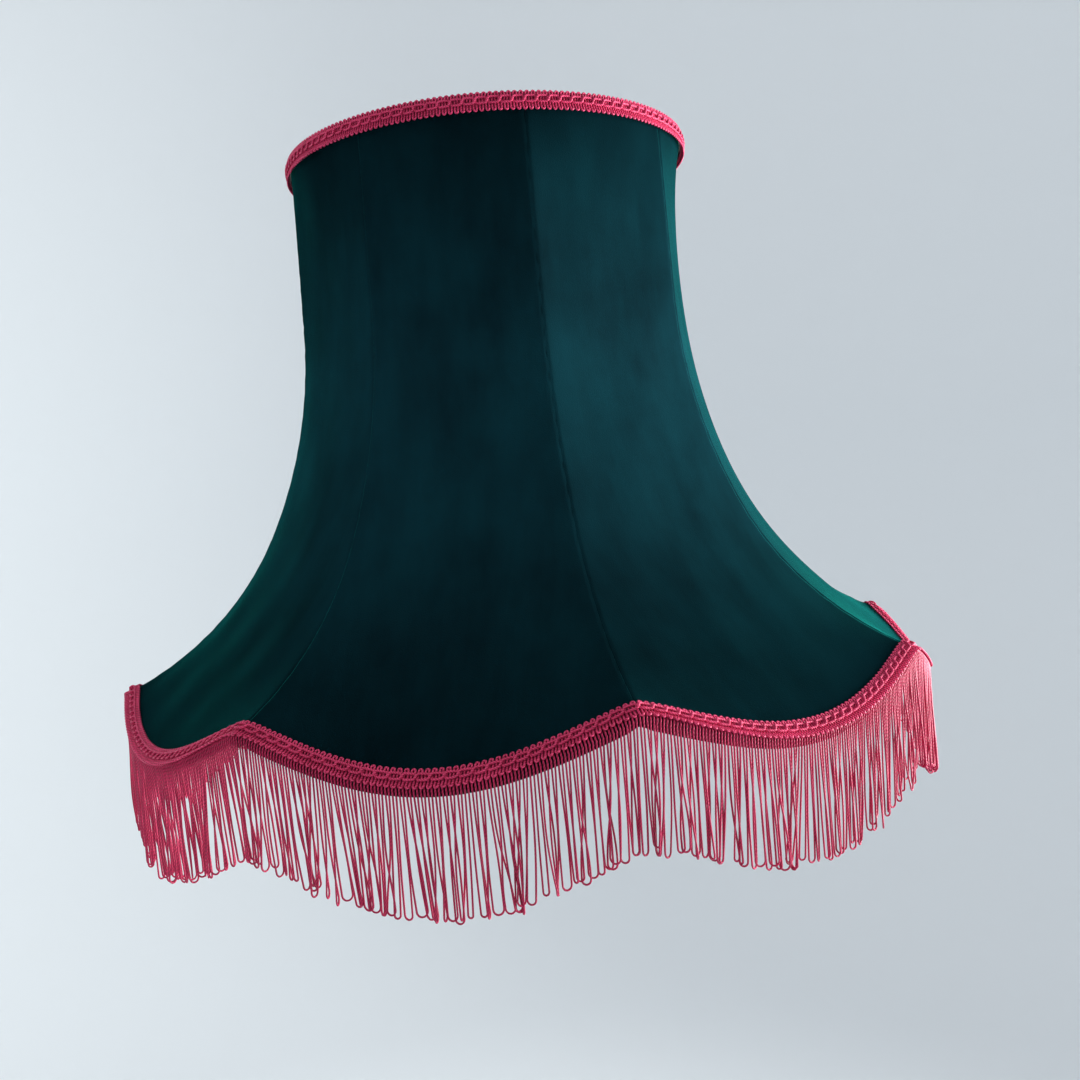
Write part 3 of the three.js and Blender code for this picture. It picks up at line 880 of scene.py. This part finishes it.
def fitter_material():
    material, tree, shader = new_material("brassed_steel")
    where = object_space(tree)
    tarnish = noise(tree, where, 120.0, 5.0, 0.6)
    colour = ramp(tree, tarnish, (0.35, (0.52, 0.38, 0.16)), (0.65, (0.72, 0.56, 0.28)))
    tree.links.new(colour, shader.inputs["Base Color"])
    shader.inputs["Metallic"].default_value = 1.0
    scratches = noise(tree, scaled(tree, where, (300.0, 300.0, 3000.0)), 1.0, 2.0)
    rough = add_node(tree, "ShaderNodeMapRange", {"Value": tarnish, "To Min": 0.24, "To Max": 0.42})
    tree.links.new(rough.outputs["Result"], shader.inputs["Roughness"])
    tree.links.new(bump(tree, scratches, 0.12, 0.0002), shader.inputs["Normal"])
    return material


def backdrop_material():
    material, _, shader = new_material("backdrop")
    shader.inputs["Base Color"].default_value = (0.81, 0.832, 0.855, 1)
    shader.inputs["Roughness"].default_value = 0.95
    shader.inputs["Specular IOR Level"].default_value = 0.1
    return material


# Painted shade and painted highlight of each cord: its colour in the grooves between plies and on their
# crests
BRAID_SHADED, BRAID_LIT = (0.30, 0.009, 0.042), (0.82, 0.060, 0.180)
STRAND_SHADED, STRAND_LIT = (0.22, 0.006, 0.034), (0.60, 0.024, 0.105)
TAPE_SHADED, TAPE_LIT = (0.16, 0.008, 0.03), (0.24, 0.012, 0.05)

VELVET = velvet_material()
LINING = lining_material()
WEFT = cord_material("trim_cord", BRAID_SHADED, BRAID_LIT, 2, 0.0030)
CHAIN = cord_material("trim_chain_cord", BRAID_SHADED, BRAID_LIT, 3, 0.0036)
STRAND = cord_material("fringe_cord", STRAND_SHADED, STRAND_LIT, 2, 0.0032)
TAPE = cord_material("trim_tape", TAPE_SHADED, TAPE_LIT, 2, 0.0030)
WIRE = wire_material()
METAL = fitter_material()


def wear(piece, material):
    """Gives a piece one material, in place of any other."""
    piece.data.materials.clear()
    piece.data.materials.append(material)


def finish_piece(piece, body, slot, material, *nodes):
    """Gives a piece its material, parents it to its body's empty, and hides the CAD nodes it stands in
    for.
    """
    wear(piece, material)
    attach(piece, body)
    if nodes:
        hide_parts(*nodes)
    return piece


# The shade, put together


HEM = hem_ribbon()
RIM = top_ribbon()
HEM_CELLS = PANELS * round(HEM.length / PANELS / BRAID_CELL)
RIM_CELLS = 2 * round(RIM.length / BRAID_CELL / 2)

for edge, node, ribbon, base, cells, tape_high in (
    ("top", "top_gimp", RIM, 0.0, RIM_CELLS, 0.0092),
    ("hem", "fringe_heading", HEM, HEADING_RISE, HEM_CELLS, 0.0080),
):
    weft = braid_weft(f"{edge}_braid_weft", ribbon, base, cells)
    finish_piece(weft, "shade", "trim", WEFT, node)
    chain = braid_chain(f"{edge}_braid_chain", ribbon, base, cells)
    finish_piece(chain, "shade", "trim", CHAIN, node)
    tape = braid_tape(f"{edge}_braid_tape", ribbon, base, tape_high)
    finish_piece(tape, "shade", "trim", TAPE, node)

for k in range(1, PANELS + 1):
    loops = finish_piece(fringe(k, HEM, HEM_CELLS), "shade", "trim", STRAND, f"fringe_{k}")
    panel = finish_piece(velvet_panel(k), "shade", "velvet", VELVET, f"velvet_panel_{k}")
    lining = finish_piece(lining_panel(k), "shade", "lining", LINING, f"lining_panel_{k}")

for name in ["top_ring", "bottom_ring", *(f"rib_{k}" for k in range(1, PANELS + 1))]:
    wear(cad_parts[name], WIRE)

for k, degrees in enumerate(ARM_DEGREES, start=1):
    finish_piece(arm_wire(k, math.radians(degrees)), "shade", "frame_wire", WIRE, f"arm_{k}")
finish_piece(gimbal_ring(), "shade", "fitter_metal", METAL, "gimbal_ring")
finish_piece(fitter_washer(), "fitter", "fitter_metal", METAL, "fitter_ring")
for name, side in (("fitter_lug_front", -1), ("fitter_lug_back", 1)):
    finish_piece(fitter_lug(name, side), "fitter", "fitter_metal", METAL, "fitter_ring")
for name in ("pivot_rivet_front", "pivot_rivet_back"):
    wear(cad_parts[name], METAL)

# Camera, lights and backdrop

CAMERA_AZIMUTH = math.radians(-10.80)
CAMERA_DISTANCE = 0.6664
CAMERA_RISE = 0.0916  # over the ribs' feet
CAMERA_YAW, CAMERA_PITCH, CAMERA_ROLL = (math.radians(a) for a in (11.88, -2.47, -4.94))
CAMERA_LENS = 37.54
MIDDLE = (0, 0, -0.1)  # of the shade, where the light is aimed


def add_camera():
    camera = bpy.data.objects.new("camera", bpy.data.cameras.new("camera"))
    camera.data.lens = CAMERA_LENS
    camera.data.clip_end = 20
    ahead = Vector((math.sin(CAMERA_YAW), math.cos(CAMERA_YAW), 0))
    forward = math.cos(CAMERA_PITCH) * ahead + math.sin(CAMERA_PITCH) * Vector((0, 0, 1))
    level = Vector((math.cos(CAMERA_YAW), -math.sin(CAMERA_YAW), 0))
    upright = level.cross(forward)
    right = math.cos(CAMERA_ROLL) * level + math.sin(CAMERA_ROLL) * upright
    up = math.cos(CAMERA_ROLL) * upright - math.sin(CAMERA_ROLL) * level
    place = Matrix((right, up, -forward)).transposed().to_4x4()
    place.translation = Vector(polar(CAMERA_DISTANCE, CAMERA_AZIMUTH, FOOT + CAMERA_RISE).tolist())
    camera.matrix_world = place
    bpy.context.scene.collection.objects.link(camera)
    bpy.context.scene.camera = camera


def add_softbox(name, azimuth, height, distance, width, tall, power, colour, spread):
    """A soft light, its azimuth counted from the camera's side, aimed at the middle of the shade."""
    light = bpy.data.lights.new(name, "AREA")
    light.shape = "RECTANGLE"
    light.size, light.size_y = width, tall
    light.energy = power
    light.color = colour
    light.spread = math.radians(spread)
    lamp = bpy.data.objects.new(name, light)
    angle = CAMERA_AZIMUTH + math.radians(azimuth)
    lamp.location = polar(distance, angle, height).tolist()
    aim = Vector(MIDDLE) - lamp.location
    lamp.rotation_euler = aim.to_track_quat("-Z", "Y").to_euler()
    bpy.context.scene.collection.objects.link(lamp)


def add_backdrop():
    """A pale floor that curves up all round into a wall."""
    floor, flat, bend, wall = -1.2, 1.6, 1.2, 3.5
    turn = np.linspace(0, math.pi / 2, 25)
    radius = np.concatenate([[0.001, flat / 2], flat + bend * np.sin(turn), [flat + bend]])
    height = np.concatenate([[floor, floor], floor + bend * (1 - np.cos(turn)), [floor + wall]])
    angle = np.arange(128) * 2 * math.pi / 128
    points = polar(radius[:, None], angle, height[:, None])
    index = np.arange(points.shape[0] * points.shape[1]).reshape(points.shape[:2])
    beside = np.roll(index, -1, axis=1)
    quads = np.stack([index[:-1], beside[:-1], beside[1:], index[1:]], -1).reshape(-1, 4)
    backdrop = add_mesh("backdrop", points, quads.tolist())
    backdrop.data.materials.append(backdrop_material())


def add_world():
    """Even light from all round, as in a pale room."""
    world = bpy.data.worlds.new("world")
    world.use_nodes = True
    background = world.node_tree.nodes["Background"]
    background.inputs["Color"].default_value = (0.93, 0.97, 1.0, 1)
    background.inputs["Strength"].default_value = 0.82
    bpy.context.scene.world = world


add_camera()
add_softbox("window", 95, -0.28, 1.5, 1.2, 1.2, 46, (0.97, 1.0, 0.97), 120)
add_backdrop()
add_world()
bpy.context.scene.view_settings.view_transform = "Standard"

bpy.context.view_layer.update()
